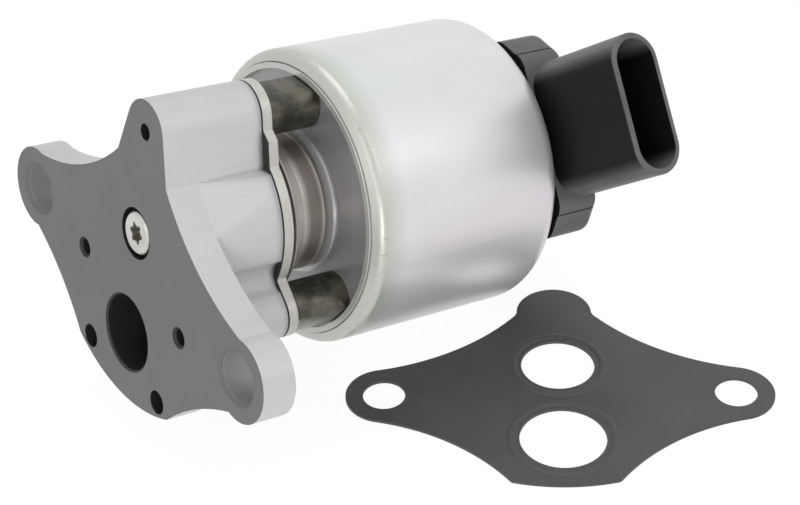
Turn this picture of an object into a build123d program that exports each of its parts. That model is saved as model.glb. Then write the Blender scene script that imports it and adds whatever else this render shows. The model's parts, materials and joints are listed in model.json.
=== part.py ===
"""Electric exhaust gas recirculation valve with its loose mounting gasket.

The frame is X across the two bolt ears, Y along the valve axis from the mounting face to the
cap, and Z up towards the single screw lobe. The origin is where the valve axis meets the
mounting face. Lengths are millimetres.
"""

from build123d import *

import os
from math import atan2, cos, degrees, hypot, radians, sin, tan

os.makedirs("parts", exist_ok=True)

# Clearances
press_gap = 0.02
running_gap = 0.05
mould_gap = 0.15
loose_gap = 0.3

# Mounting flange
bolt_spacing = 75.0
bolt_drop = 10.0
slot_width = 9.4
slot_length = 10.6
slot_chamfer = 0.7
flange_thickness = 7.0
ear_radius = 8.35
ear_overhang = 9.2
ear_top_angle = 98.0
ear_bottom_angle = -102.0
foot_radius = 36.9
foot_half_angle = 27.3
foot_corner_radius = 1.6
upper_sag = 2.7
lower_sag = 1.3

# Actuator screws and the three lobes that carry them
screw_radius = 2.0
tapped_radius = 1.65
tapped_depth = 5.0
mouth_chamfer = 0.55
head_radius = 3.5
head_height = 2.4
socket_across = 2.5
socket_depth = 1.3
top_screw_height = 22.0
low_screw_x = 17.95
low_screw_z = -13.1
top_lobe_radius = 6.35
lobe_lean = 16.0
shoulder_height = 14.2
low_lobe_radius = 5.0

# Valve body
body_height = 21.7
bulge_radius = 18.2
flank_taper = 2.4
flank_sweep = 28.0
groove_radius = 3.5
groove_x = 19.7
groove_z = -4.35

# Gas ways
port_drop = 22.7
port_radius = 7.75
port_depth = 15.0
port_wall = 3.6
port_roof = 2.5
port_chamfer = 0.4
passage_width = 11.0
passage_floor = 8.5
inlet_radius = 5.2
inlet_depth = 2.0
seat_thickness = 4.0
seat_outer_radius = 8.0
seat_bore_radius = 5.0
seat_chamfer = 0.8
chamber_radius = 9.5
dowel_spacing = 25.8
dowel_drop = 31.2
dowel_radius = 2.45
dowel_depth = 5.0

# Pintle
lift = 4.5
tip_radius = 4.3
tip_height = 0.05
tip_chamfer = 0.4
head_rim_radius = 6.4
head_rim_height = 0.8
stem_radius = 3.0
thread_end_radius = 2.2
stem_tip_length = 4.0
recess_core_radius = 1.7
recess_lobe_radius = 0.5
recess_lobe_circle = 1.75
recess_depth = 1.8

# Stem bushing, body gasket, plate and gas shield
bushing_neck_radius = 5.5
bushing_start = 16.5
bushing_end = 28.0
bushing_plug_height = 3.0
body_gasket_thickness = 0.4
plate_thickness = 2.1
plate_bore_radius = 6.5
plate_valley_radius = 0.8
plate_step = 1.7
plate_step_top = 20.0
plate_step_ramp = 1.3
shield_wall = 0.7
shield_foot_radius = 14.6
shield_foot_height = 1.1
shield_flange_radius = 17.5
shield_flange_edge = 0.4
shield_base_radius = 14.3
shield_waist_radius = 13.7
shield_rim_radius = 14.1
shield_rim_height = 10.2
shield_neck_radius = 11.4

# Standoffs and front plate
standoff_length = 12.0
standoff_radius = 5.3
standoff_reach = 26.2
front_plate_thickness = 2.0
front_bore_radius = 3.4
front_ring_inner_radius = 26.45
front_ring_outer_radius = 27.6
front_ring_height = 1.0
front_rim_radius = 28.5
front_rim_thickness = 1.4
boss_inner_radius = 12.3
boss_outer_radius = 15.0
boss_height = 0.5

# Solenoid can
can_radius = 30.0
can_wall = 1.2
lip_inner_radius = 27.75
lip_flat_radius = 29.0
lip_lead = 1.2
lip_rise = 0.8
lip_shoulder = 1.6
can_end = 81.7
can_shoulder_radius = 3.5
can_opening_radius = 20.0

# Solenoid inside
pole_disc_radius = 17.5
pole_disc_thickness = 3.0
pole_tube_radius = 12.8
pole_tube_length = 14.8
sleeve_outer_radius = 9.25
sleeve_inner_radius = 8.75
armature_clearance = 5.8
armature_stop_gap = 0.5
armature_chamfer = 0.6
nut_height = 2.4
nut_radius = 3.3
upper_plug_length = 7.0
upper_disc_thickness = 3.0
upper_disc_radius = 28.5
spring_bore_radius = 5.4
bobbin_bore_radius = 13.0
bobbin_hub_radius = 14.2
bobbin_flange_radius = 27.8
bobbin_flange_thickness = 1.6
winding_radius = 25.6

# Return spring and its seat
spring_mean_radius = 4.25
spring_wire = 0.9
spring_turns = 6
retainer_radius = 7.5
retainer_thickness = 1.2
retainer_bore_radius = 2.6

# Cap, in the frame of its connector
connector_angle = 38.0
cap_flange_thickness = 3.1
cap_flange_gap = 0.4
cap_flange_radius = 26.3
cap_height = 11.0
cap_half_width = 20.9
cap_corner = 5.4
cap_corner_radius = 4.0
cap_front = 25.6
cap_edge_radius = 2.2
window_half_width = 17.0
window_rim = 1.3
window_back = 13.5
seal_radius = 24.0
seal_section_radius = 0.8

# Connector
connector_rise = 6.9
tube_reach = 51.0
tube_half_thickness = 5.9
tube_half_straight = 8.4
tube_wall = 1.2
tube_depth = 15.0
tube_lip_radius = 0.5
terminal_count = 5
terminal_pitch = 3.96
terminal_width = 1.5
terminal_thickness = 0.64
terminal_reach = 44.0

# Position sensor
sensor_floor_depth = 0.5
sensor_bore_radius = 8.4
sensor_roof_depth = 1.7
pocket_half_width = 9.3
pocket_reach = 10.0
pocket_step_height = 4.0
plunger_radius = 1.8
plunger_headroom = 5.2
carrier_radius = 3.6
carrier_height = 2.0
wiper_root = 2.4
wiper_width = 2.0
wiper_thickness = 0.4
wiper_rise = 0.7
board_face = 8.0
board_thickness = 0.8
board_width = 18.0
board_height = 9.0
sensor_spring_mean_radius = 2.6
sensor_spring_wire = 0.4
sensor_spring_turns = 5
cover_half_width = 12.0
cover_back = -12.0
cover_front = 21.0
cover_height = 2.4
cover_corner_radius = 3.0
cover_edge_radius = 0.8

# Loose mounting gasket, x along its ears and y towards its tab
gasket_thickness = 0.6
gasket_ear_x = 35.9
gasket_ear_radius = 7.9
gasket_hole_radius = 4.35
gasket_upper_port_radius = 7.6
gasket_upper_port_y = 9.1
gasket_lower_port_radius = 8.75
gasket_lower_port_y = -13.5
gasket_tab_radius = 7.95
gasket_tab_y = 26.4
gasket_shoulder_x = 8.3
gasket_shoulder_y = 25.5
gasket_foot_x = 10.7
gasket_foot_y = -25.8
gasket_foot_sag = 1.4
gasket_upper_sag = 3.0
gasket_lower_sag = 3.0
gasket_corner_radius = 1.4
bead_offset = 0.9
bead_half_width = 0.85
bead_height = 0.3
gasket_x = 46.2
gasket_y = 75.7
gasket_turn = 53.6
ground_tilt = 11.2

# Positions that follow from the sizes
bolt_x = bolt_spacing / 2
ear_reach = bolt_x + ear_overhang
ear_x = ear_reach - ear_radius
seat_top = inlet_depth + seat_thickness
cone_start = seat_top - seat_chamfer - (seat_bore_radius - tip_radius) + running_gap
rim_start = cone_start + head_rim_radius - tip_radius
rim_end = rim_start + head_rim_height
plate_start = body_height + body_gasket_thickness
plate_end = plate_start + plate_thickness
front_face = plate_end + standoff_length
front_back = front_face + front_plate_thickness
lip_back = front_back - front_rim_thickness
can_bore_radius = can_radius - can_wall
can_floor = can_end - can_wall
cap_end = can_end + cap_height
cap_flange_start = can_floor - cap_flange_thickness
upper_disc_end = cap_flange_start - cap_flange_gap
upper_disc_start = upper_disc_end - upper_disc_thickness
upper_plug_start = upper_disc_start - upper_plug_length
armature_start = front_back + armature_clearance
armature_end = upper_plug_start - armature_stop_gap - lift
armature_radius = sleeve_inner_radius - running_gap
stem_end = armature_end + stem_tip_length
pole_disc_end = front_back + pole_disc_thickness
pole_tube_end = pole_disc_end + pole_tube_length
retainer_end = upper_disc_end + retainer_thickness
window_end = cap_end - window_rim
tube_inner_half = tube_half_thickness - tube_wall
cavity_floor = tube_reach - tube_depth
connector_centre = can_end + connector_rise
sensor_floor = can_floor - sensor_floor_depth
sensor_roof = cap_end - sensor_roof_depth
pocket_step = sensor_floor + pocket_step_height
plunger_end = sensor_roof - plunger_headroom
carrier_start = sensor_floor + loose_gap
carrier_end = carrier_start + carrier_height
wiper_start = carrier_start + wiper_rise
board_back = board_face + board_thickness
screw_places = (
    (0.0, top_screw_height),
    (low_screw_x, low_screw_z),
    (-low_screw_x, low_screw_z),
)
low_screw_distance = hypot(low_screw_x, low_screw_z)
low_screw_angle = degrees(atan2(low_screw_z, low_screw_x))

# The gasket lies on the ground, a plane that touches the rear edge of the can
ground_normal = (0, -sin(radians(ground_tilt)), cos(radians(ground_tilt)))
ground_point = (
    (can_end - can_shoulder_radius) - can_shoulder_radius * ground_normal[1],
    -(can_radius - can_shoulder_radius) - can_shoulder_radius * ground_normal[2],
)
ground_rise = (gasket_y - ground_point[0]) * tan(radians(ground_tilt))
gasket_plane = Plane(
    Plane(
        origin=(gasket_x, gasket_y, ground_point[1] + ground_rise),
        x_dir=(1, 0, 0),
        z_dir=ground_normal,
    ).location
    * Location((0, 0, 0), (0, 0, gasket_turn))
)


def across(y):
    """Plane square to the valve axis, facing the cap, its own y along Z."""
    return Plane(origin=(0, y, 0), x_dir=(-1, 0, 0), z_dir=(0, 1, 0))


def across_connector(y):
    """Plane square to the valve axis, its own x along the connector."""
    angle = radians(connector_angle)
    return Plane(origin=(0, y, 0), x_dir=(cos(angle), 0, sin(angle)), z_dir=(0, 1, 0))


def along_connector(reach, y):
    """Plane facing out of the connector, its own y along the valve axis."""
    angle = radians(connector_angle)
    return Plane(
        origin=(reach * cos(angle), y, reach * sin(angle)),
        x_dir=(sin(angle), 0, -cos(angle)),
        z_dir=(cos(angle), 0, sin(angle)),
    )


def connector_distance(edge):
    """How far out along the connector the middle of an edge is."""
    angle = radians(connector_angle)
    return edge.center().X * cos(angle) + edge.center().Z * sin(angle)


def on_circle(centre, radius, angle):
    return (
        centre[0] + radius * cos(radians(angle)),
        centre[1] + radius * sin(radians(angle)),
    )


def turned(*points):
    """Section of a turned piece from (radius, y) points."""
    with BuildSketch() as section:
        with BuildLine():
            Polyline(*points, close=True)
        make_face()
    return section.sketch


def top_lobe_flank():
    """Ends of the straight side of the top lobe, on the right."""
    lobe_end = on_circle((0, top_screw_height), top_lobe_radius, lobe_lean)
    spread = tan(radians(lobe_lean)) * (lobe_end[1] - shoulder_height)
    return lobe_end, (lobe_end[0] + spread, shoulder_height)


def flange_outline():
    lobe_end, shoulder = top_lobe_flank()
    ear_centre = (ear_x, -bolt_drop)
    ear_top = on_circle(ear_centre, ear_radius, ear_top_angle)
    ear_bottom = on_circle(ear_centre, ear_radius, ear_bottom_angle)
    corner = on_circle((0, 0), foot_radius, foot_half_angle - 90)
    with BuildSketch() as outline:
        with BuildLine():
            ThreePointArc(
                (0, top_screw_height + top_lobe_radius),
                on_circle((0, top_screw_height), top_lobe_radius, (90 + lobe_lean) / 2),
                lobe_end,
            )
            Line(lobe_end, shoulder)
            SagittaArc(shoulder, ear_top, -upper_sag)
            ThreePointArc(ear_top, (ear_reach, -bolt_drop), ear_bottom)
            SagittaArc(ear_bottom, corner, -lower_sag)
            ThreePointArc(
                corner,
                on_circle((0, 0), foot_radius, foot_half_angle / 2 - 90),
                (0, -foot_radius),
            )
            mirror(about=Plane.YZ)
        make_face()
        corners = outline.vertices().filter_by(
            lambda v: hypot(abs(v.X) - corner[0], v.Y - corner[1]) < 0.01
        )
        fillet(corners, radius=foot_corner_radius)
    return outline.sketch


def flank_circle():
    """Centre and radius of the hollow side of the flange, on the right."""
    shoulder = top_lobe_flank()[1]
    ear_top = on_circle((ear_x, -bolt_drop), ear_radius, ear_top_angle)
    run, rise = ear_top[0] - shoulder[0], ear_top[1] - shoulder[1]
    chord = hypot(run, rise)
    radius = chord**2 / (8 * upper_sag) + upper_sag / 2
    away = (radius - upper_sag) / chord
    centre = ((shoulder[0] + ear_top[0]) / 2 - rise * away, (shoulder[1] + ear_top[1]) / 2 + run * away)
    return centre, radius


def lobed_outline(bulge_top, step):
    """Bulge with its three screw lobes. The sides of the top lobe stand out by step at their foot."""
    lobe_end, shoulder = top_lobe_flank()
    lean = tan(radians(lobe_lean))
    ramp_top = plate_step_top + plate_step_ramp
    with BuildSketch() as outline:
        Circle(bulge_radius)
        with Locations((0, bulge_top + bulge_radius)):
            Rectangle(2 * bulge_radius, 2 * bulge_radius, mode=Mode.SUBTRACT)
        with Locations((0, top_screw_height)):
            Circle(top_lobe_radius)
        with BuildLine():
            Polyline(
                (0, 0),
                (shoulder[0] + step, shoulder[1]),
                (shoulder[0] + step - lean * (plate_step_top - shoulder[1]), plate_step_top),
                (shoulder[0] - lean * (ramp_top - shoulder[1]), ramp_top),
                lobe_end,
                (0, lobe_end[1]),
                close=True,
            )
        make_face()
        mirror(about=Plane.YZ)
        for angle in (low_screw_angle, 180 - low_screw_angle):
            with Locations(on_circle((0, 0), low_screw_distance / 2, angle)):
                SlotCenterToCenter(low_screw_distance, 2 * low_lobe_radius, rotation=angle)
    return outline.sketch


def body_outline():
    """Outline of the body behind the flange, with a groove above each low lobe."""
    with BuildSketch() as outline:
        add(lobed_outline(shoulder_height, 0))
        with Locations((groove_x, groove_z), (-groove_x, groove_z)):
            Circle(groove_radius, mode=Mode.SUBTRACT)
    return outline.sketch


def plate_outline():
    """Outline of the plate on the body and of the sheet under it."""
    with BuildSketch() as outline:
        add(lobed_outline(bulge_radius, plate_step))
        valleys = outline.vertices().filter_by(
            lambda v: abs(hypot(v.X, v.Y) - bulge_radius) < 0.01 and abs(v.Y) > 1
        )
        fillet(valleys, radius=plate_valley_radius)
    return outline.sketch


def cap_outline():
    """Cap seen along the valve axis, x towards the connector."""
    with BuildSketch() as outline:
        with BuildLine():
            Polyline(
                (0, cap_half_width),
                (cap_front, cap_half_width),
                (cap_front, -cap_half_width),
                (0, -cap_half_width),
            )
            ThreePointArc((0, -cap_half_width), (-cap_half_width, 0), (0, cap_half_width))
        make_face()
        chamfer(outline.vertices().group_by(Axis.X)[-1], length=cap_corner)
        corners = outline.vertices().filter_by(lambda v: v.X > cap_front - cap_corner - 0.01)
        fillet(corners, radius=cap_corner_radius)
    return outline.sketch


def gasket_outline():
    ear_centre = (gasket_ear_x, 0)
    ear_top = on_circle(ear_centre, gasket_ear_radius, 80)
    ear_bottom = on_circle(ear_centre, gasket_ear_radius, -79)
    tab_centre = (0, gasket_tab_y)
    shoulder = (gasket_shoulder_x, gasket_shoulder_y)
    foot = (gasket_foot_x, gasket_foot_y)
    with BuildSketch() as outline:
        with BuildLine():
            ThreePointArc(
                (0, gasket_tab_y + gasket_tab_radius),
                on_circle(tab_centre, gasket_tab_radius, 45),
                on_circle(tab_centre, gasket_tab_radius, 0),
            )
            Line(on_circle(tab_centre, gasket_tab_radius, 0), shoulder)
            SagittaArc(shoulder, ear_top, -gasket_upper_sag)
            ThreePointArc(ear_top, (gasket_ear_x + gasket_ear_radius, 0), ear_bottom)
            SagittaArc(ear_bottom, foot, -gasket_lower_sag)
            ThreePointArc(
                foot,
                (foot[0] / 2, foot[1] - 0.75 * gasket_foot_sag),
                (0, foot[1] - gasket_foot_sag),
            )
            mirror(about=Plane.YZ)
        make_face()
        corners = outline.vertices().filter_by(
            lambda v: hypot(abs(v.X) - foot[0], v.Y - foot[1]) < 0.01
        )
        fillet(corners, radius=gasket_corner_radius)
    return outline.sketch


with BuildPart() as flank_cutter:
    flank_centre, flank_radius = flank_circle()
    shoulder = top_lobe_flank()[1]
    towards = (
        (shoulder[0] - flank_centre[0]) / flank_radius,
        (shoulder[1] - flank_centre[1]) / flank_radius,
    )
    with BuildSketch(
        Plane(
            origin=(flank_centre[0], 0, flank_centre[1]),
            x_dir=(towards[0], 0, towards[1]),
            z_dir=(-towards[1], 0, towards[0]),
        )
    ):
        with BuildLine():
            Polyline(
                (0, flange_thickness),
                (flank_radius, flange_thickness),
                (flank_radius - flank_taper, body_height),
                (0, body_height),
                close=True,
            )
        make_face()
    revolve(
        axis=Axis((flank_centre[0], 0, flank_centre[1]), (0, -1, 0)), revolution_arc=flank_sweep
    )
    mirror(about=Plane.YZ)


with BuildPart() as valve_body:
    with BuildSketch(across(0)):
        add(flange_outline())
        with Locations((bolt_x, -bolt_drop), (-bolt_x, -bolt_drop)):
            SlotOverall(slot_length, slot_width, mode=Mode.SUBTRACT)
    extrude(amount=flange_thickness)
    with BuildSketch(across(flange_thickness)):
        add(body_outline())
    extrude(amount=body_height - flange_thickness)
    add(flank_cutter.part, mode=Mode.SUBTRACT)
    with BuildSketch(across(flange_thickness)):
        with Locations((0, -port_drop)):
            Circle(port_radius + port_wall)
    extrude(amount=port_depth + port_roof - flange_thickness)
    with BuildSketch(across(0)):
        with Locations((0, -port_drop)):
            Circle(port_radius)
    extrude(amount=port_depth, mode=Mode.SUBTRACT)
    with BuildSketch(across(passage_floor)):
        with Locations((0, -port_drop / 2)):
            Rectangle(passage_width, port_drop)
    extrude(amount=port_depth - passage_floor, mode=Mode.SUBTRACT)
    with BuildSketch():
        add(
            turned(
                (0, 0),
                (inlet_radius, 0),
                (inlet_radius, inlet_depth),
                (seat_outer_radius, inlet_depth),
                (seat_outer_radius, seat_top),
                (chamber_radius, seat_top),
                (chamber_radius, body_height),
                (0, body_height),
            )
        )
    revolve(axis=Axis.Y, mode=Mode.SUBTRACT)
    with BuildSketch(across(0)):
        with Locations(*screw_places):
            Circle(tapped_radius)
    extrude(amount=tapped_depth, mode=Mode.SUBTRACT)
    with BuildSketch(across(tapped_depth)):
        with Locations(*screw_places):
            Circle(screw_radius + running_gap)
    extrude(amount=body_height - tapped_depth, mode=Mode.SUBTRACT)
    with BuildSketch(across(0)):
        with Locations((dowel_spacing / 2, -dowel_drop), (-dowel_spacing / 2, -dowel_drop)):
            Circle(dowel_radius)
    extrude(amount=dowel_depth, mode=Mode.SUBTRACT)
    slot_places = ((bolt_x, -bolt_drop), (-bolt_x, -bolt_drop))
    slot_rims = valve_body.edges().filter_by(
        lambda e: abs(e.center().Y) < 0.01
        and min(hypot(e.center().X - x, e.center().Z - z) for x, z in slot_places)
        < slot_length / 2 + 0.01
    )
    chamfer(slot_rims, length=slot_chamfer)
    mouths = valve_body.edges().filter_by(GeomType.CIRCLE).filter_by(
        lambda e: abs(e.arc_center.Y) < 0.01
    )
    chamfer(mouths.filter_by(lambda e: abs(e.radius - port_radius) < 0.01), length=port_chamfer)
    mouths = valve_body.edges().filter_by(GeomType.CIRCLE).filter_by(
        lambda e: abs(e.arc_center.Y) < 0.01 and e.arc_center.Z < 0
    )
    chamfer(mouths.filter_by(lambda e: abs(e.radius - tapped_radius) < 0.01), length=mouth_chamfer)
valve_body.part.label = "valve_body"
export_step(valve_body.part, "parts/valve_body.step")


with BuildPart() as seat_ring:
    with BuildSketch():
        add(
            turned(
                (seat_bore_radius, inlet_depth),
                (seat_outer_radius - press_gap, inlet_depth),
                (seat_outer_radius - press_gap, seat_top),
                (seat_bore_radius + seat_chamfer, seat_top),
                (seat_bore_radius, seat_top - seat_chamfer),
            )
        )
    revolve(axis=Axis.Y)
seat_ring.part.label = "seat_ring"
export_step(seat_ring.part, "parts/seat_ring.step")


with BuildPart() as pintle:
    with BuildSketch():
        add(
            turned(
                (0, tip_height),
                (tip_radius - tip_chamfer, tip_height),
                (tip_radius, tip_height + tip_chamfer),
                (tip_radius, cone_start),
                (head_rim_radius, rim_start),
                (head_rim_radius, rim_end),
                (stem_radius, rim_end + head_rim_radius - stem_radius),
                (stem_radius, armature_start),
                (thread_end_radius, armature_start),
                (thread_end_radius, stem_end),
                (0, stem_end),
            )
        )
    revolve(axis=Axis.Y)
    with BuildSketch(across(tip_height)):
        Circle(recess_core_radius)
        with PolarLocations(recess_lobe_circle, 6):
            Circle(recess_lobe_radius)
    extrude(amount=recess_depth, mode=Mode.SUBTRACT)
pintle.part.label = "pintle"
export_step(pintle.part, "parts/pintle.step")


with BuildPart() as stem_bushing:
    with BuildSketch():
        add(
            turned(
                (stem_radius + running_gap, bushing_start),
                (bushing_neck_radius, bushing_start),
                (bushing_neck_radius, body_height - bushing_plug_height),
                (chamber_radius - press_gap, body_height - bushing_plug_height),
                (chamber_radius - press_gap, body_height),
                (bushing_neck_radius, body_height),
                (bushing_neck_radius, bushing_end),
                (stem_radius + running_gap, bushing_end),
            )
        )
    revolve(axis=Axis.Y)
stem_bushing.part.label = "stem_bushing"
export_step(stem_bushing.part, "parts/stem_bushing.step")


with BuildPart() as body_gasket:
    with BuildSketch(across(body_height)):
        add(plate_outline())
        Circle(plate_bore_radius, mode=Mode.SUBTRACT)
        with Locations(*screw_places):
            Circle(screw_radius + loose_gap, mode=Mode.SUBTRACT)
    extrude(amount=body_gasket_thickness)
body_gasket.part.label = "body_gasket"
export_step(body_gasket.part, "parts/body_gasket.step")


with BuildPart() as mounting_plate:
    with BuildSketch(across(plate_start)):
        add(plate_outline())
        Circle(plate_bore_radius, mode=Mode.SUBTRACT)
        with Locations(*screw_places):
            Circle(screw_radius + loose_gap, mode=Mode.SUBTRACT)
    extrude(amount=plate_thickness)
mounting_plate.part.label = "mounting_plate"
export_step(mounting_plate.part, "parts/mounting_plate.step")


with BuildPart() as gas_shield:
    flange_start = plate_end + shield_foot_height
    rim_level = plate_end + shield_rim_height
    with BuildSketch():
        add(
            turned(
                (shield_foot_radius, plate_end),
                (shield_foot_radius, flange_start),
                (shield_flange_radius, flange_start),
                (shield_flange_radius, flange_start + shield_flange_edge),
                (shield_base_radius, flange_start + 2 * shield_flange_edge),
                (shield_waist_radius, (flange_start + rim_level) / 2),
                (shield_rim_radius, rim_level),
                (shield_neck_radius, rim_level),
                (shield_neck_radius, front_face),
                (shield_neck_radius - shield_wall, front_face),
                (shield_neck_radius - shield_wall, rim_level - shield_wall),
                (shield_waist_radius - shield_wall, rim_level - shield_wall),
                (shield_waist_radius - shield_wall, plate_end),
            )
        )
    revolve(axis=Axis.Y)
    with BuildSketch(across(flange_start)):
        with Locations(*screw_places):
            Circle(standoff_radius + loose_gap)
    extrude(amount=2 * shield_flange_edge, mode=Mode.SUBTRACT)
gas_shield.part.label = "gas_shield"
export_step(gas_shield.part, "parts/gas_shield.step")


with BuildPart() as standoffs:
    with BuildSketch(across(plate_end)):
        with Locations(*screw_places):
            Circle(standoff_radius)
        Circle(standoff_reach, mode=Mode.INTERSECT)
        with Locations(*screw_places):
            Circle(screw_radius + running_gap, mode=Mode.SUBTRACT)
    extrude(amount=standoff_length)
standoffs.part.label = "standoffs"
export_step(standoffs.part, "parts/standoffs.step")


with BuildPart() as actuator_screws:
    with BuildSketch(across(tapped_depth)):
        with Locations(*screw_places):
            Circle(screw_radius)
    extrude(amount=front_back - tapped_depth)
    with BuildSketch(across(front_back)):
        with Locations(*screw_places):
            Circle(head_radius)
    extrude(amount=head_height)
    with BuildSketch(across(front_back + head_height)):
        with Locations(*screw_places):
            RegularPolygon(socket_across / 2, 6, major_radius=False)
    extrude(amount=-socket_depth, mode=Mode.SUBTRACT)
actuator_screws.part.label = "actuator_screws"
export_step(actuator_screws.part, "parts/actuator_screws.step")


with BuildPart() as front_plate:
    with BuildSketch():
        add(
            turned(
                (front_bore_radius, front_face),
                (boss_inner_radius, front_face),
                (boss_inner_radius, front_face - boss_height),
                (boss_outer_radius, front_face - boss_height),
                (boss_outer_radius, front_face),
                (front_ring_inner_radius, front_face),
                (front_ring_inner_radius, front_face - front_ring_height),
                (front_ring_outer_radius, front_face - front_ring_height),
                (front_ring_outer_radius, lip_back),
                (front_rim_radius, lip_back),
                (front_rim_radius, front_back),
                (front_bore_radius, front_back),
            )
        )
    revolve(axis=Axis.Y)
    with BuildSketch(across(front_face)):
        with Locations(*screw_places):
            Circle(screw_radius + running_gap)
    extrude(amount=front_plate_thickness, mode=Mode.SUBTRACT)
front_plate.part.label = "front_plate"
export_step(front_plate.part, "parts/front_plate.step")


with BuildPart() as solenoid_can:
    lip_front = lip_back - lip_lead
    lip_edge = (can_radius, lip_front + lip_rise + lip_shoulder)
    shoulder_centre = (can_radius - can_shoulder_radius, can_end - can_shoulder_radius)
    with BuildSketch():
        with BuildLine():
            Polyline(
                (can_bore_radius, lip_back),
                (lip_inner_radius, lip_back),
                (lip_inner_radius, lip_front),
                (lip_flat_radius, lip_front + lip_rise),
            )
            TangentArc((lip_flat_radius, lip_front + lip_rise), lip_edge, tangent=(1, 0.62))
            Line(lip_edge, (can_radius, shoulder_centre[1]))
            ThreePointArc(
                (can_radius, shoulder_centre[1]),
                on_circle(shoulder_centre, can_shoulder_radius, 45),
                (shoulder_centre[0], can_end),
            )
            Polyline(
                (shoulder_centre[0], can_end),
                (can_opening_radius, can_end),
                (can_opening_radius, can_floor),
                (shoulder_centre[0], can_floor),
            )
            ThreePointArc(
                (shoulder_centre[0], can_floor),
                on_circle(shoulder_centre, can_shoulder_radius - can_wall, 45),
                (can_bore_radius, shoulder_centre[1]),
            )
            Line((can_bore_radius, shoulder_centre[1]), (can_bore_radius, lip_back))
        make_face()
    revolve(axis=Axis.Y)
solenoid_can.part.label = "solenoid_can"
export_step(solenoid_can.part, "parts/solenoid_can.step")


with BuildPart() as lower_pole:
    with BuildSketch():
        add(
            turned(
                (sleeve_outer_radius + running_gap, front_back),
                (pole_disc_radius, front_back),
                (pole_disc_radius, pole_disc_end),
                (pole_tube_radius, pole_disc_end),
                (pole_tube_radius, pole_tube_end),
                (sleeve_outer_radius + running_gap, pole_tube_end),
            )
        )
    revolve(axis=Axis.Y)
lower_pole.part.label = "lower_pole"
export_step(lower_pole.part, "parts/lower_pole.step")


with BuildPart() as guide_sleeve:
    with BuildSketch():
        add(
            turned(
                (sleeve_inner_radius, front_back),
                (sleeve_outer_radius, front_back),
                (sleeve_outer_radius, upper_disc_start),
                (sleeve_inner_radius, upper_disc_start),
            )
        )
    revolve(axis=Axis.Y)
guide_sleeve.part.label = "guide_sleeve"
export_step(guide_sleeve.part, "parts/guide_sleeve.step")


with BuildPart() as bobbin:
    with BuildSketch():
        add(
            turned(
                (bobbin_bore_radius, pole_disc_end),
                (bobbin_flange_radius, pole_disc_end),
                (bobbin_flange_radius, pole_disc_end + bobbin_flange_thickness),
                (bobbin_hub_radius, pole_disc_end + bobbin_flange_thickness),
                (bobbin_hub_radius, upper_disc_start - bobbin_flange_thickness),
                (bobbin_flange_radius, upper_disc_start - bobbin_flange_thickness),
                (bobbin_flange_radius, upper_disc_start),
                (bobbin_bore_radius, upper_disc_start),
            )
        )
    revolve(axis=Axis.Y)
bobbin.part.label = "bobbin"
export_step(bobbin.part, "parts/bobbin.step")


with BuildPart() as coil_winding:
    winding_start = pole_disc_end + bobbin_flange_thickness
    winding_end = upper_disc_start - bobbin_flange_thickness
    with BuildSketch():
        add(
            turned(
                (bobbin_hub_radius + press_gap, winding_start),
                (winding_radius, winding_start),
                (winding_radius, winding_end),
                (bobbin_hub_radius + press_gap, winding_end),
            )
        )
    revolve(axis=Axis.Y)
coil_winding.part.label = "coil_winding"
export_step(coil_winding.part, "parts/coil_winding.step")


with BuildPart() as armature:
    armature_bore_radius = thread_end_radius + press_gap
    with BuildSketch():
        add(
            turned(
                (armature_bore_radius, armature_start),
                (armature_radius - armature_chamfer, armature_start),
                (armature_radius, armature_start + armature_chamfer),
                (armature_radius, armature_end - armature_chamfer),
                (armature_radius - armature_chamfer, armature_end),
                (armature_bore_radius, armature_end),
            )
        )
    revolve(axis=Axis.Y)
armature.part.label = "armature"
export_step(armature.part, "parts/armature.step")


with BuildPart() as stem_nut:
    with BuildSketch(across(armature_end)):
        RegularPolygon(nut_radius, 6)
        Circle(thread_end_radius + press_gap, mode=Mode.SUBTRACT)
    extrude(amount=nut_height)
stem_nut.part.label = "stem_nut"
export_step(stem_nut.part, "parts/stem_nut.step")


with BuildPart() as upper_pole:
    with BuildSketch():
        add(
            turned(
                (spring_bore_radius, upper_plug_start),
                (armature_radius, upper_plug_start),
                (armature_radius, upper_disc_start),
                (upper_disc_radius, upper_disc_start),
                (upper_disc_radius, upper_disc_end),
                (spring_bore_radius, upper_disc_end),
            )
        )
    revolve(axis=Axis.Y)
upper_pole.part.label = "upper_pole"
export_step(upper_pole.part, "parts/upper_pole.step")


with BuildPart() as return_spring:
    spring_rise = upper_disc_end - armature_end - spring_wire - 2 * press_gap
    with BuildLine():
        return_coil = Helix(
            pitch=spring_rise / spring_turns,
            height=spring_rise,
            radius=spring_mean_radius,
            center=(0, armature_end + spring_wire / 2 + press_gap, 0),
            direction=(0, 1, 0),
        )
    with BuildSketch(Plane(origin=return_coil @ 0, z_dir=return_coil % 0)):
        Circle(spring_wire / 2)
    sweep(is_frenet=True)
return_spring.part.label = "return_spring"
export_step(return_spring.part, "parts/return_spring.step")


with BuildPart() as spring_retainer:
    with BuildSketch(across(upper_disc_end)):
        Circle(retainer_radius)
        Circle(retainer_bore_radius, mode=Mode.SUBTRACT)
    extrude(amount=retainer_thickness)
spring_retainer.part.label = "spring_retainer"
export_step(spring_retainer.part, "parts/spring_retainer.step")


with BuildPart() as cap_seal:
    with BuildSketch():
        with Locations((seal_radius, upper_disc_end + seal_section_radius)):
            Circle(seal_section_radius)
    revolve(axis=Axis.Y)
cap_seal.part.label = "cap_seal"
export_step(cap_seal.part, "parts/cap_seal.step")


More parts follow.
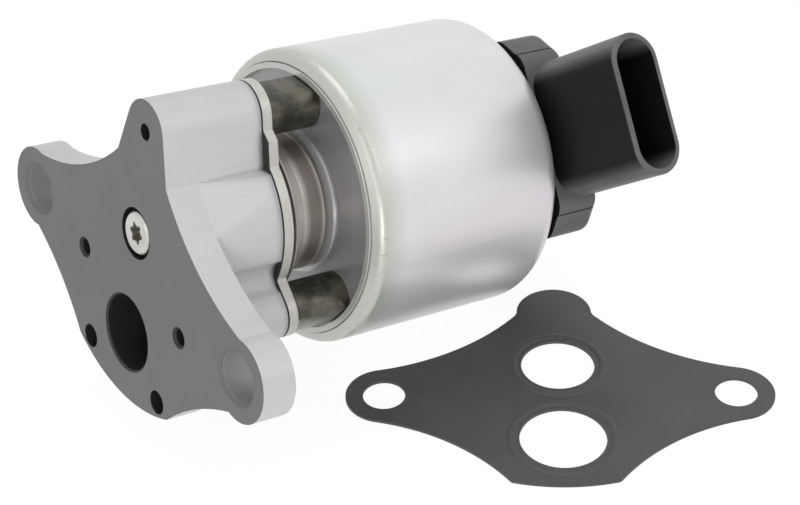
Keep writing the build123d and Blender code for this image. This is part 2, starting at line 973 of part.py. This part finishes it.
with BuildPart() as rear_cap:
    with BuildSketch(across_connector(can_end)):
        add(cap_outline())
    extrude(amount=cap_end - can_end)
    fillet(rear_cap.faces().sort_by(Axis.Y)[-1].edges(), radius=cap_edge_radius)
    with BuildSketch(across(can_floor)):
        Circle(can_opening_radius - mould_gap)
    extrude(amount=can_wall)
    with BuildSketch(across(cap_flange_start)):
        Circle(cap_flange_radius)
    extrude(amount=can_floor - cap_flange_start)
    with BuildSketch(across_connector(can_end)):
        with Locations((window_back + cap_front / 2, 0)):
            Rectangle(cap_front, 2 * window_half_width)
    extrude(amount=window_end - can_end, mode=Mode.SUBTRACT)
    with BuildSketch(across_connector(sensor_floor)):
        Circle(sensor_bore_radius)
        with Locations((pocket_reach / 2, 0)):
            Rectangle(pocket_reach, 2 * pocket_half_width)
    extrude(amount=cap_end - sensor_floor, mode=Mode.SUBTRACT)
    with BuildSketch(across_connector(pocket_step)):
        with Locations((window_back / 2, 0)):
            Rectangle(window_back, 2 * pocket_half_width)
    extrude(amount=window_end - pocket_step, mode=Mode.SUBTRACT)
    with BuildSketch():
        add(
            turned(
                (0, cap_flange_start),
                (retainer_radius + loose_gap, cap_flange_start),
                (retainer_radius + loose_gap, retainer_end),
                (plunger_radius + running_gap, retainer_end),
                (plunger_radius + running_gap, sensor_floor),
                (0, sensor_floor),
            )
        )
        with Locations((seal_radius, cap_flange_start)):
            Rectangle(
                2 * (seal_section_radius + press_gap),
                2 * (upper_disc_end + 2 * seal_section_radius + press_gap - cap_flange_start),
            )
    revolve(axis=Axis.Y, mode=Mode.SUBTRACT)
rear_cap.part.label = "rear_cap"
export_step(rear_cap.part, "parts/rear_cap.step")


with BuildPart() as sensor_cover:
    with BuildSketch(across_connector(cap_end)):
        with Locations(((cover_back + cover_front) / 2, 0)):
            RectangleRounded(cover_front - cover_back, 2 * cover_half_width, cover_corner_radius)
    extrude(amount=cover_height)
    fillet(sensor_cover.faces().sort_by(Axis.Y)[-1].edges(), radius=cover_edge_radius)
    with BuildSketch(across_connector(sensor_roof)):
        Circle(sensor_bore_radius - mould_gap)
    extrude(amount=cap_end - sensor_roof)
sensor_cover.part.label = "sensor_cover"
export_step(sensor_cover.part, "parts/sensor_cover.step")


with BuildPart() as connector_housing:
    with BuildSketch(across_connector(can_end + mould_gap)):
        add(cap_outline())
        with Locations((window_back + mould_gap + cap_front / 2, 0)):
            Rectangle(cap_front, 2 * (window_half_width - mould_gap), mode=Mode.INTERSECT)
    extrude(amount=window_end - can_end - 2 * mould_gap)
    with BuildSketch(along_connector(cap_front, connector_centre)):
        SlotCenterToCenter(2 * tube_half_straight, 2 * tube_half_thickness)
    extrude(amount=tube_reach - cap_front)
    mouth = connector_housing.edges().filter_by(
        lambda e: abs(connector_distance(e) - tube_reach) < 0.01
    )
    fillet(mouth, radius=tube_lip_radius)
    with BuildSketch(along_connector(cavity_floor, connector_centre)):
        SlotCenterToCenter(2 * tube_half_straight, 2 * tube_inner_half)
    extrude(amount=tube_depth, mode=Mode.SUBTRACT)
    with BuildSketch(along_connector(window_back, connector_centre)):
        with GridLocations(terminal_pitch, 1, terminal_count, 1):
            Rectangle(terminal_width + 2 * press_gap, terminal_thickness + 2 * press_gap)
    extrude(amount=cavity_floor - window_back, mode=Mode.SUBTRACT)
connector_housing.part.label = "connector_housing"
export_step(connector_housing.part, "parts/connector_housing.step")


with BuildPart() as terminals:
    with BuildSketch(along_connector(board_back, connector_centre)):
        with GridLocations(terminal_pitch, 1, terminal_count, 1):
            Rectangle(terminal_width, terminal_thickness)
    extrude(amount=terminal_reach - board_back)
terminals.part.label = "terminals"
export_step(terminals.part, "parts/terminals.step")


with BuildPart() as resistive_board:
    with BuildSketch(along_connector(board_face, sensor_floor + board_height / 2)):
        Rectangle(board_width, board_height)
    extrude(amount=board_thickness)
resistive_board.part.label = "resistive_board"
export_step(resistive_board.part, "parts/resistive_board.step")


with BuildPart() as sensor_plunger:
    with BuildSketch():
        add(
            turned(
                (0, stem_end + running_gap),
                (plunger_radius, stem_end + running_gap),
                (plunger_radius, carrier_start),
                (carrier_radius, carrier_start),
                (carrier_radius, carrier_end),
                (plunger_radius, carrier_end),
                (plunger_radius, plunger_end),
                (0, plunger_end),
            )
        )
    revolve(axis=Axis.Y)
    with BuildSketch(along_connector(wiper_root, wiper_start + wiper_thickness / 2)):
        Rectangle(wiper_width + 2 * press_gap, wiper_thickness + 2 * press_gap)
    extrude(amount=carrier_radius, mode=Mode.SUBTRACT)
sensor_plunger.part.label = "sensor_plunger"
export_step(sensor_plunger.part, "parts/sensor_plunger.step")


with BuildPart() as wiper:
    wiper_reach = board_face - 2 * running_gap
    with BuildSketch(along_connector(wiper_root + press_gap, wiper_start + wiper_thickness / 2)):
        Rectangle(wiper_width, wiper_thickness)
    extrude(amount=wiper_reach - wiper_root - press_gap)
wiper.part.label = "wiper"
export_step(wiper.part, "parts/wiper.step")


with BuildPart() as sensor_spring:
    sensor_rise = sensor_roof - carrier_end - sensor_spring_wire - 2 * press_gap
    with BuildLine():
        sensor_coil = Helix(
            pitch=sensor_rise / sensor_spring_turns,
            height=sensor_rise,
            radius=sensor_spring_mean_radius,
            center=(0, carrier_end + sensor_spring_wire / 2 + press_gap, 0),
            direction=(0, 1, 0),
        )
    with BuildSketch(Plane(origin=sensor_coil @ 0, z_dir=sensor_coil % 0)):
        Circle(sensor_spring_wire / 2)
    sweep(is_frenet=True)
sensor_spring.part.label = "sensor_spring"
export_step(sensor_spring.part, "parts/sensor_spring.step")


with BuildPart() as mounting_gasket:
    with BuildSketch(gasket_plane):
        add(gasket_outline())
        with Locations((gasket_ear_x, 0), (-gasket_ear_x, 0)):
            Circle(gasket_hole_radius, mode=Mode.SUBTRACT)
        with Locations((0, gasket_upper_port_y)):
            Circle(gasket_upper_port_radius, mode=Mode.SUBTRACT)
        with Locations((0, gasket_lower_port_y)):
            Circle(gasket_lower_port_radius, mode=Mode.SUBTRACT)
    extrude(amount=gasket_thickness)
    for port_y, port_r in (
        (gasket_upper_port_y, gasket_upper_port_radius),
        (gasket_lower_port_y, gasket_lower_port_radius),
    ):
        bead_place = gasket_plane.location * Location((0, port_y, 0), (90, 0, 0))
        bead_start = port_r + bead_offset
        bead_end = bead_start + 2 * bead_half_width
        for level, mode in ((gasket_thickness, Mode.ADD), (0, Mode.SUBTRACT)):
            with BuildSketch(Plane(bead_place)):
                with BuildLine():
                    ThreePointArc(
                        (bead_start, level),
                        (bead_start + bead_half_width, level + bead_height),
                        (bead_end, level),
                    )
                    Line((bead_end, level), (bead_start, level))
                make_face()
            revolve(axis=Axis(bead_place.position, gasket_plane.z_dir), mode=mode)
mounting_gasket.part.label = "mounting_gasket"
export_step(mounting_gasket.part, "parts/mounting_gasket.step")
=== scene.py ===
"""Studio scene of the electric exhaust gas recirculation valve and its loose gasket.

Metres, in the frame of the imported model: X across the bolt ears, Y along the valve axis from
the mounting face to the cap, Z up towards the single screw lobe.
"""

import json
from math import cos, radians, sin, tau

import bpy
from mathutils import Matrix, Vector

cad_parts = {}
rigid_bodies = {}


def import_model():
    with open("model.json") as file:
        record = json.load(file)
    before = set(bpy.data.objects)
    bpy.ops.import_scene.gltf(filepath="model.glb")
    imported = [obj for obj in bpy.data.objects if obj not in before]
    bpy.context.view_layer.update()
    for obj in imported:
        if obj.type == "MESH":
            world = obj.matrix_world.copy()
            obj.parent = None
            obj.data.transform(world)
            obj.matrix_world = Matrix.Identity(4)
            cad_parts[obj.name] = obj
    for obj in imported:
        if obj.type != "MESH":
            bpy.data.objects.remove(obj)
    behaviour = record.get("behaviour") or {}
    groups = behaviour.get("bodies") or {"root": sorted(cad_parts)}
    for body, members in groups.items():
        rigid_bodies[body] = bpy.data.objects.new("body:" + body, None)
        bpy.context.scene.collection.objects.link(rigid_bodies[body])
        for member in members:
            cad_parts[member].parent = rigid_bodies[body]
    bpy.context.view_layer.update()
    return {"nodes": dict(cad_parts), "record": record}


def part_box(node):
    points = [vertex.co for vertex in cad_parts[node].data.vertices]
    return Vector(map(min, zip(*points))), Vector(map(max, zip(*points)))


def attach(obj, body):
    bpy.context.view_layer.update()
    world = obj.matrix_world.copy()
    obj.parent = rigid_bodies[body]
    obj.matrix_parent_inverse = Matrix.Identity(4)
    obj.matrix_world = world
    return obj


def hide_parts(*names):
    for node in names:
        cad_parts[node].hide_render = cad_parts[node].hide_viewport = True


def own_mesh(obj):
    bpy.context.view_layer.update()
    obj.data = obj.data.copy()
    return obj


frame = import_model()
nodes = frame["nodes"]
mm = 0.001

# Camera of the photograph
lens = 98.37
sensor_width = 36.0
camera_place = Vector((304.0, -197.8, 214.2)) * mm
camera_right = Vector((0.58657, 0.79768, 0.14017))
camera_up = Vector((-0.48057, 0.2035, 0.85302))

# Ground under the loose gasket and the rear edge of the can
ground_tilt = radians(11.2)
ground_normal = Vector((0, -sin(ground_tilt), cos(ground_tilt)))
can_radius = 30.0 * mm
can_shoulder = 3.5 * mm
can_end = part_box("solenoid_can")[1].y
can_edge = Vector((0, can_end - can_shoulder, can_shoulder - can_radius))
ground_gap = 0.1 * mm

# Zones of the casting that get their own finish or painted shade. Places are x and z in
# millimetres.
flange_back = 7.0 * mm
bolt_slots = ((-37.5, -10.0), (37.5, -10.0))
slot_zone = 6.4 * mm
centre_hole = (0, 0)
centre_mouth = 6.4 * mm
gas_port = (0, -22.7)
port_mouth = 8.2 * mm
tapped_holes = ((0, 22.0), (-17.95, -13.1), (17.95, -13.1))
tapped_mouth = 2.25 * mm
blind_holes = ((-12.9, -31.2), (12.9, -31.2))
blind_mouth = 2.5 * mm
face_depth = 0.02 * mm
mouth_depth = 0.75 * mm

# Zones of other nodes: along the valve axis, from the foot on the shield, and radii on the
# front plate
tip_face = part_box("pintle")[0].y + 0.3 * mm
shield_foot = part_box("gas_shield")[0].y
shield_gap = 1.05 * mm
shield_shade = (1.6 * mm, 4.5 * mm)
heat_start = (5.8 * mm, 7.2 * mm)
heat_end = (9.3 * mm, 10.1 * mm)
front_rim = 26.3 * mm
front_ring = (12.2 * mm, 15.1 * mm)
lip_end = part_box("solenoid_can")[0].y + 2.6 * mm
lip_shade = 5 * mm
plastic_nodes = ("rear_cap", "connector_housing", "sensor_cover")

# Surface detail
cloud_tint = 0.8
turning_grain = 0.6 * mm
turning_pitch = 0.35 * mm
wire_pitch = 0.6 * mm
track_pitch = 4 * mm
track_angle = radians(38.0)

# Light. Seen is what the camera and reflections get, the other level lights the part.
world_light, world_seen = 0.62, 1.0
paper_tone = 0.86
paper_glow = 1.07
glow_light, glow_seen = 0.3, 0.85
lamp_target = (0.01, 0.045, 0.0)
lamps = (
    # name, place, size, power
    ("key", (0.55, 0.25, 0.60), 0.5, 0.85),
    ("top", (-0.25, 0.05, 0.75), 0.6, 1.4),
    ("front", (0.25, -0.75, 0.35), 0.5, 0.8),
    ("side", (0.45, -0.30, -0.02), 0.2, 0.6),
)


class Finish:
    """One procedural material, built up from a Principled shader."""

    def __init__(self, name, colour, metallic=0.0, roughness=0.5):
        self.material = bpy.data.materials.new(name)
        self.material.use_nodes = True
        self.tree = self.material.node_tree
        self.shader = self.tree.nodes["Principled BSDF"]
        self.shader.inputs["Base Color"].default_value = (*colour, 1)
        self.shader.inputs["Metallic"].default_value = metallic
        self.shader.inputs["Roughness"].default_value = roughness
        self.coords = self.add("ShaderNodeTexCoord")
        self.tone = None
        self.relief = None

    def add(self, kind, **settings):
        node = self.tree.nodes.new(kind)
        for key, value in settings.items():
            setattr(node, key, value)
        return node

    def join(self, source, target):
        self.tree.links.new(source, target)

    def math(self, operation, a, b=0.0):
        node = self.add("ShaderNodeMath", operation=operation)
        for socket, value in zip(node.inputs, (a, b)):
            if isinstance(value, (int, float)):
                socket.default_value = value
            else:
                self.join(value, socket)
        return node.outputs[0]

    def axis(self, letter, source="Object"):
        """One coordinate of the place, or of the normal, in the row frame."""
        split = self.add("ShaderNodeSeparateXYZ")
        self.join(self.coords.outputs[source], split.inputs[0])
        return split.outputs[letter]

    def distance(self, x=0.0, z=0.0):
        """Distance from the line through x and z that runs along the valve axis."""
        run = self.math("SUBTRACT", self.axis("X"), x)
        rise = self.math("SUBTRACT", self.axis("Z"), z)
        squares = [self.math("MULTIPLY", side, side) for side in (run, rise)]
        return self.math("SQRT", self.math("ADD", *squares))

    def near(self, places, radius):
        """1 within radius of the axis of any of the places, each an x and z in millimetres."""
        mask = 0.0
        for x, z in places:
            spot = self.math("LESS_THAN", self.distance(x * mm, z * mm), radius)
            mask = self.math("MAXIMUM", spot, mask)
        return mask

    def noise(self, size, stretch=(1, 1, 1), detail=4.0, roughness=0.55, seed=0.0):
        """Noise with features of about size, drawn out along an axis where stretch is small."""
        mapping = self.add("ShaderNodeMapping")
        mapping.inputs["Scale"].default_value = stretch
        mapping.inputs["Location"].default_value = (seed, seed, seed)
        self.join(self.coords.outputs["Object"], mapping.inputs["Vector"])
        node = self.add("ShaderNodeTexNoise")
        node.inputs["Scale"].default_value = 1 / size
        node.inputs["Detail"].default_value = detail
        node.inputs["Roughness"].default_value = roughness
        self.join(mapping.outputs[0], node.inputs["Vector"])
        return node.outputs["Fac"]

    def band(self, source, low, high, new_low=0.0, new_high=1.0):
        """Source between low and high, spread over a new range and clamped to it."""
        node = self.add("ShaderNodeMapRange")
        node.inputs["From Min"].default_value = low
        node.inputs["From Max"].default_value = high
        node.inputs["To Min"].default_value = new_low
        node.inputs["To Max"].default_value = new_high
        self.join(source, node.inputs["Value"])
        return node.outputs[0]

    def waves(self, source, pitch):
        """Sine waves from -1 to 1, one for each pitch of source."""
        return self.math("SINE", self.math("MULTIPLY", source, tau / pitch))

    def paint(self, mask, colour):
        """Covers what is there with colour where mask is 1."""
        mix = self.add("ShaderNodeMix", data_type="RGBA")
        base = self.shader.inputs["Base Color"]
        if self.tone is None:
            mix.inputs["A"].default_value = base.default_value
        else:
            self.join(self.tone, mix.inputs["A"])
        mix.inputs["B"].default_value = (*colour, 1)
        self.join(mask, mix.inputs["Factor"])
        self.tone = mix.outputs["Result"]
        self.join(self.tone, base)

    def vary(self, name, mask, low, high):
        """A shader value that runs from low to high with mask."""
        self.join(self.band(mask, 0.0, 1.0, low, high), self.shader.inputs[name])

    def emboss(self, height, depth):
        """Surface relief of that depth where height goes from 0 to 1."""
        node = self.add("ShaderNodeBump")
        node.inputs["Strength"].default_value = 1.0
        node.inputs["Distance"].default_value = depth
        self.join(height, node.inputs["Height"])
        if self.relief is not None:
            self.join(self.relief, node.inputs["Normal"])
        self.relief = node.outputs["Normal"]
        self.join(self.relief, self.shader.inputs["Normal"])

    def soften(self, radius):
        """Edges rounded in the shading only. It comes before any relief."""
        node = self.add("ShaderNodeBevel", samples=6)
        if isinstance(radius, float):
            node.inputs["Radius"].default_value = radius
        else:
            self.join(radius, node.inputs["Radius"])
        self.relief = node.outputs["Normal"]
        self.join(self.relief, self.shader.inputs["Normal"])

    def on(self, *names):
        for name in names:
            slots = nodes[name].material_slots
            if not slots:
                nodes[name].data.materials.append(self.material)
            for slot in slots:
                slot.material = self.material


def casting():
    """Satin tumbled alloy with soft corners, a darker machined face, and painted shade in the
    bolt slots and inside the holes and their mouths.
    """
    metallic, roughness = 0.15, 0.48
    f = Finish("cast_alloy", (0.56, 0.56, 0.565), metallic, roughness)
    along = f.axis("Y")
    f.soften(f.band(along, flange_back, flange_back + 1 * mm, 0.25 * mm, 2.4 * mm))
    cloud = f.noise(9 * mm, detail=3)
    f.paint(f.band(cloud, 0.35, 0.7), (0.58, 0.58, 0.58))
    streak = f.noise(1.6 * mm, stretch=(1, 0.08, 1), seed=3.0)
    f.paint(f.band(streak, 0.5, 0.78, 0.0, 0.4), (0.48, 0.48, 0.48))
    pits = f.noise(0.55 * mm, detail=2, seed=7.0)
    f.paint(f.band(pits, 0.70, 0.78, 0.0, 0.45), (0.36, 0.36, 0.35))

    face = f.math(
        "MULTIPLY",
        f.math("LESS_THAN", along, mouth_depth),
        f.math("LESS_THAN", f.axis("Y", "Normal"), -0.5),
    )
    f.paint(face, (0.145, 0.145, 0.144))
    stain = f.noise(14 * mm, detail=5, seed=11.0)
    f.paint(f.math("MULTIPLY", face, f.band(stain, 0.42, 0.72, 0.0, 0.5)), (0.172, 0.172, 0.168))

    # painted shade: the walls of the bolt slots are darker
    slots = f.math(
        "MULTIPLY", f.near(bolt_slots, slot_zone), f.math("GREATER_THAN", along, mouth_depth)
    )
    f.paint(slots, (0.29, 0.29, 0.285))
    mouths = f.math(
        "MAXIMUM",
        f.math("MAXIMUM", f.near([gas_port], port_mouth), f.near([centre_hole], centre_mouth)),
        f.math("MAXIMUM", f.near(tapped_holes, tapped_mouth), f.near(blind_holes, blind_mouth)),
    )
    # painted shade: near black inside the holes and their mouths
    bore_shade = f.math("MULTIPLY", mouths, f.math("GREATER_THAN", along, face_depth))
    f.paint(bore_shade, (0.016, 0.016, 0.016))
    f.vary("Metallic", f.math("MAXIMUM", face, bore_shade), metallic, 0.0)
    f.vary("Roughness", face, roughness, 0.62)
    f.emboss(f.noise(0.3 * mm, detail=3, seed=5.0), 0.02 * mm)
    f.on("valve_body")


def machined(name, colour, roughness, *targets, metallic=0.9):
    """Turned or rolled metal: fine lines across the valve axis and a few darker clouds."""
    f = Finish(name, colour, metallic=metallic, roughness=roughness)
    f.soften(0.15 * mm)
    cloud = f.noise(5 * mm, detail=4, seed=2.0)
    f.paint(f.band(cloud, 0.4, 0.75), tuple(c * cloud_tint for c in colour))
    lines = f.noise(turning_grain, stretch=(0.15, 1, 0.15), detail=3, seed=4.0)
    f.emboss(lines, 0.012 * mm)
    f.vary("Roughness", cloud, roughness * 0.85, roughness * 1.2)
    f.on(*targets)
    return f


def pintle_steel():
    """Bright turned tip, with painted shade on its recess and on the stem past the tip face."""
    f = machined("pintle_steel", (0.62, 0.61, 0.59), 0.35, "pintle", metallic=0.7)
    # painted shade on everything past the tip face: the recess and the stem
    shaded_past_tip = f.math("GREATER_THAN", f.axis("Y"), tip_face)
    f.paint(shaded_past_tip, (0.30, 0.285, 0.25))


def plate_edge():
    """Sheared plate: bright, speckled edge and smooth faces."""
    f = Finish("plate_steel", (0.54, 0.53, 0.50), metallic=0.4, roughness=0.4)
    f.soften(0.2 * mm)
    speck = f.noise(0.45 * mm, detail=3, seed=1.0)
    f.paint(f.band(speck, 0.62, 0.74, 0.0, 0.8), (0.25, 0.24, 0.21))
    warm = f.noise(3 * mm, seed=6.0)
    f.paint(f.band(warm, 0.5, 0.8, 0.0, 0.5), (0.48, 0.455, 0.40))
    f.emboss(speck, 0.03 * mm)
    f.on("mounting_plate")


def shield_steel():
    """Polished drawn steel with a brown heat band before its rear rim, and painted shade towards
    its foot, near black in the gap there.
    """
    f = Finish("shield_steel", (0.56, 0.53, 0.49), metallic=0.5, roughness=0.36)
    along = f.math("SUBTRACT", f.axis("Y"), shield_foot)
    heat = f.math("MULTIPLY", f.band(along, *heat_start), f.band(along, *reversed(heat_end)))
    cloud = f.noise(4 * mm, detail=4)
    f.paint(f.band(cloud, 0.45, 0.8, 0.0, 0.5), (0.62, 0.60, 0.57))
    # painted shade: darker towards the foot on the plate
    f.paint(f.band(along, *reversed(shield_shade)), (0.33, 0.31, 0.285))
    f.paint(heat, (0.24, 0.215, 0.19))
    # painted shade: near black in the gap at the foot
    f.paint(f.math("LESS_THAN", along, shield_gap), (0.02, 0.02, 0.02))
    f.emboss(f.noise(0.8 * mm, stretch=(0.2, 1, 0.2)), 0.01 * mm)
    f.on("gas_shield")


def standoff_steel():
    """Dark olive plating, with painted reflections as darker clouds."""
    f = Finish("standoff_steel", (0.115, 0.11, 0.085), metallic=0.75, roughness=0.3)
    # painted reflections: darker clouds
    cloud = f.noise(5 * mm, detail=5, roughness=0.6, seed=9.0)
    f.paint(f.band(cloud, 0.42, 0.62), (0.045, 0.042, 0.036))
    fine = f.noise(1.2 * mm, stretch=(1, 0.3, 1), seed=2.0)
    f.paint(f.band(fine, 0.6, 0.8, 0.0, 0.5), (0.22, 0.21, 0.17))
    f.emboss(fine, 0.01 * mm)
    f.on("standoffs")


def front_steel():
    """Polished front plate with faint rings, lighter outside its rim, and painted light on the
    boss ring, which sits in shade.
    """
    f = Finish("front_steel", (0.36, 0.355, 0.36), metallic=0.5, roughness=0.3)
    cloud = f.noise(7 * mm, detail=4, seed=3.0)
    f.paint(f.band(cloud, 0.4, 0.7), (0.35, 0.345, 0.35))
    radius = f.distance()
    f.paint(f.math("GREATER_THAN", radius, front_rim), (0.60, 0.60, 0.57))
    inner, outer = front_ring
    # painted light: the boss ring, in shade under the shield, is painted lighter
    ring = f.math(
        "MULTIPLY", f.math("LESS_THAN", radius, outer), f.math("GREATER_THAN", radius, inner)
    )
    f.paint(ring, (0.68, 0.67, 0.66))
    f.emboss(f.band(f.waves(radius, turning_pitch), -1.0, 1.0), 0.004 * mm)
    f.on("front_plate")


def can_steel():
    """Satin plated can with faint rainbow tints and a brighter rolled lip."""
    f = Finish("can_steel", (0.73, 0.73, 0.745), metallic=0.55, roughness=0.38)
    f.soften(0.3 * mm)
    broad = f.noise(30 * mm, stretch=(1, 0.7, 1), detail=2, seed=4.0)
    f.paint(f.band(broad, 0.50, 0.66, 0.0, 0.7), (0.65, 0.69, 0.66))
    f.paint(f.band(broad, 0.48, 0.36, 0.0, 0.7), (0.70, 0.66, 0.70))
    along = f.axis("Y")
    near_lip = f.band(along, lip_end + lip_shade, lip_end - 0.3 * mm)
    f.paint(f.math("MULTIPLY", near_lip, 0.7), (0.47, 0.50, 0.42))
    lip = f.math("LESS_THAN", along, lip_end - 0.2 * mm)
    f.paint(lip, (0.53, 0.535, 0.49))
    scuffs = f.noise(0.8 * mm, stretch=(1, 0.2, 1), detail=3, seed=8.0)
    f.paint(f.math("MULTIPLY", lip, f.band(scuffs, 0.6, 0.75)), (0.38, 0.37, 0.33))
    f.emboss(f.noise(0.25 * mm, detail=2), 0.006 * mm)
    f.on("solenoid_can")


def moulded(name, colour, roughness, *targets):
    """Moulded plastic with a fine grain."""
    f = Finish(name, colour, roughness=roughness)
    f.soften(0.3 * mm)
    cloud = f.noise(11 * mm, detail=3)
    f.paint(f.band(cloud, 0.4, 0.75), tuple(c * 1.35 for c in colour))
    grain = f.noise(0.28 * mm, detail=3, seed=3.0)
    f.vary("Roughness", grain, roughness * 0.85, roughness * 1.2)
    f.emboss(grain, 0.02 * mm)
    f.on(*targets)
    return f


def cap_plastic():
    """Black cap and socket: grained, with painted shade on the sides across the valve axis that
    face the flange.
    """
    f = moulded("cap_plastic", (0.12, 0.12, 0.125), 0.4, *plastic_nodes)
    # painted shade: the sides that face the flange are near black
    shaded_sides = f.band(f.axis("Y", "Normal"), -0.7, -0.97)
    f.paint(shaded_sides, (0.008, 0.008, 0.009))
    f.shader.inputs["Specular IOR Level"].default_value = 0.12


def sheet_gasket():
    """Coated gasket sheet: charcoal, with a soft sheen and very fine grain."""
    f = Finish("gasket_sheet", (0.055, 0.055, 0.057), roughness=0.5)
    f.soften(0.15 * mm)
    cloud = f.noise(16 * mm, detail=4)
    f.paint(f.band(cloud, 0.4, 0.7), (0.068, 0.067, 0.069))
    grain = f.noise(0.35 * mm, detail=4, seed=2.0)
    f.paint(f.band(grain, 0.62, 0.8, 0.0, 0.5), (0.10, 0.10, 0.10))
    f.emboss(grain, 0.015 * mm)
    f.on("mounting_gasket")


def winding():
    """Enamelled copper wire in close turns, with painted shade in the grooves between them."""
    f = Finish("winding_copper", (0.50, 0.20, 0.08), metallic=0.9, roughness=0.3)
    turns = f.waves(f.axis("Y"), wire_pitch)
    # painted shade in the grooves between the turns
    f.paint(f.band(turns, -0.9, -0.2, 0.7, 0.0), (0.14, 0.05, 0.02))
    f.emboss(f.band(turns, -1.0, 1.0), 0.1 * mm)
    f.on("coil_winding")


def laminate():
    """Printed track board: green laminate with dark tracks along the wiper's way."""
    f = Finish("board", (0.03, 0.11, 0.045), roughness=0.4)
    across = f.math(
        "SUBTRACT",
        f.math("MULTIPLY", f.axis("X"), sin(track_angle)),
        f.math("MULTIPLY", f.axis("Z"), cos(track_angle)),
    )
    f.paint(f.band(f.waves(across, track_pitch), 0.55, 0.65), (0.02, 0.02, 0.02))
    f.emboss(f.noise(0.4 * mm), 0.01 * mm)
    f.on("resistive_board")


def springs():
    """Copies of the coils that a joint deforms, fixed to the joint's parent body in place of the
    originals.
    """
    for joint in frame["record"]["behaviour"]["joints"]:
        for entry in joint.get("deforming_nodes", ()):
            node = entry["node"]
            coil = bpy.data.objects.new(node + "_coil", nodes[node].data.copy())
            bpy.context.scene.collection.objects.link(coil)
            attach(coil, joint["parent"])
            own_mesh(coil)
            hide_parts(node)


def area_light(name, place, size, power):
    data = bpy.data.lights.new(name, "AREA")
    data.shape = "DISK"
    data.size = size
    data.energy = power
    lamp = bpy.data.objects.new(name, data)
    lamp.location = place
    lamp.rotation_mode = "QUATERNION"
    lamp.rotation_quaternion = (Vector(lamp_target) - Vector(place)).to_track_quat("-Z", "Y")
    bpy.context.scene.collection.objects.link(lamp)


def by_ray(tree, light, seen):
    """Seen for camera, glossy and transmission rays, light for the rays that light the part."""
    path = tree.nodes.new("ShaderNodeLightPath")
    mask = path.outputs["Is Camera Ray"]
    for ray in ("Is Glossy Ray", "Is Transmission Ray"):
        either = tree.nodes.new("ShaderNodeMath")
        either.operation = "MAXIMUM"
        tree.links.new(mask, either.inputs[0])
        tree.links.new(path.outputs[ray], either.inputs[1])
        mask = either.outputs[0]
    level = tree.nodes.new("ShaderNodeMapRange")
    level.inputs["To Min"].default_value = light
    level.inputs["To Max"].default_value = seen
    tree.links.new(mask, level.inputs["Value"])
    return level.outputs[0]


def surroundings():
    """White on all sides, and a lower level of light from it."""
    world = bpy.data.worlds.new("studio")
    bpy.context.scene.world = world
    world.use_nodes = True
    tree = world.node_tree
    background = tree.nodes["Background"]
    background.inputs["Color"].default_value = (1, 1, 1, 1)
    tree.links.new(by_ray(tree, world_light, world_seen), background.inputs["Strength"])


def ground():
    """Pale paper under the part. It shows white and keeps a faint shadow."""
    bpy.ops.mesh.primitive_grid_add(x_subdivisions=8, y_subdivisions=8, size=3.0)
    floor = bpy.context.object
    floor.name = "floor"
    floor.rotation_euler = (ground_tilt, 0, 0)
    floor.location = can_edge - (can_shoulder + ground_gap) * ground_normal
    paper = bpy.data.materials.new("floor")
    paper.use_nodes = True
    tree = paper.node_tree
    shader = tree.nodes["Principled BSDF"]
    shader.inputs["Base Color"].default_value = (paper_tone, paper_tone, paper_tone, 1)
    shader.inputs["Roughness"].default_value = 0.9
    shader.inputs["Specular IOR Level"].default_value = 0.0
    glow = tree.nodes.new("ShaderNodeEmission")
    glow.inputs["Strength"].default_value = paper_glow
    mix = tree.nodes.new("ShaderNodeMixShader")
    tree.links.new(by_ray(tree, glow_light, glow_seen), mix.inputs[0])
    tree.links.new(shader.outputs[0], mix.inputs[1])
    tree.links.new(glow.outputs[0], mix.inputs[2])
    tree.links.new(mix.outputs[0], tree.nodes["Material Output"].inputs["Surface"])
    floor.data.materials.append(paper)


def camera():
    """The camera of the photograph."""
    back = camera_right.cross(camera_up)
    data = bpy.data.cameras.new("camera")
    data.lens = lens
    data.sensor_width = sensor_width
    data.clip_start = 0.02
    data.clip_end = 20.0
    view = bpy.data.objects.new("camera", data)
    view.matrix_world = Matrix.Translation(camera_place) @ Matrix(
        (camera_right, camera_up, back)
    ).transposed().to_4x4()
    bpy.context.scene.collection.objects.link(view)
    bpy.context.scene.camera = view


casting()
pintle_steel()
plate_edge()
shield_steel()
standoff_steel()
front_steel()
can_steel()
machined("seat_steel", (0.20, 0.19, 0.18), 0.4, "seat_ring")
machined("screw_steel", (0.42, 0.42, 0.40), 0.35, "actuator_screws", "stem_nut")
machined("pole_iron", (0.30, 0.30, 0.31), 0.4, "lower_pole", "upper_pole", "armature")
machined("sleeve_steel", (0.55, 0.55, 0.54), 0.3, "guide_sleeve", "spring_retainer")
machined("bushing_bronze", (0.45, 0.30, 0.13), 0.45, "stem_bushing")
machined("spring_steel", (0.34, 0.34, 0.34), 0.35, "return_spring", "sensor_spring")
# painted shade: the terminals deep in the socket are dark instead of bright tin
machined("terminal_tin", (0.16, 0.155, 0.14), 0.35, "terminals")
machined("contact_alloy", (0.62, 0.45, 0.18), 0.3, "wiper")
cap_plastic()
moulded("bobbin_plastic", (0.05, 0.05, 0.052), 0.5, "bobbin")
moulded("carrier_plastic", (0.55, 0.54, 0.50), 0.4, "sensor_plunger")
moulded("seal_rubber", (0.012, 0.012, 0.012), 0.7, "cap_seal", "body_gasket")
sheet_gasket()
winding()
laminate()
springs()
surroundings()
ground()
for lamp in lamps:
    area_light(*lamp)
camera()
bpy.context.scene.view_settings.view_transform = "Standard"
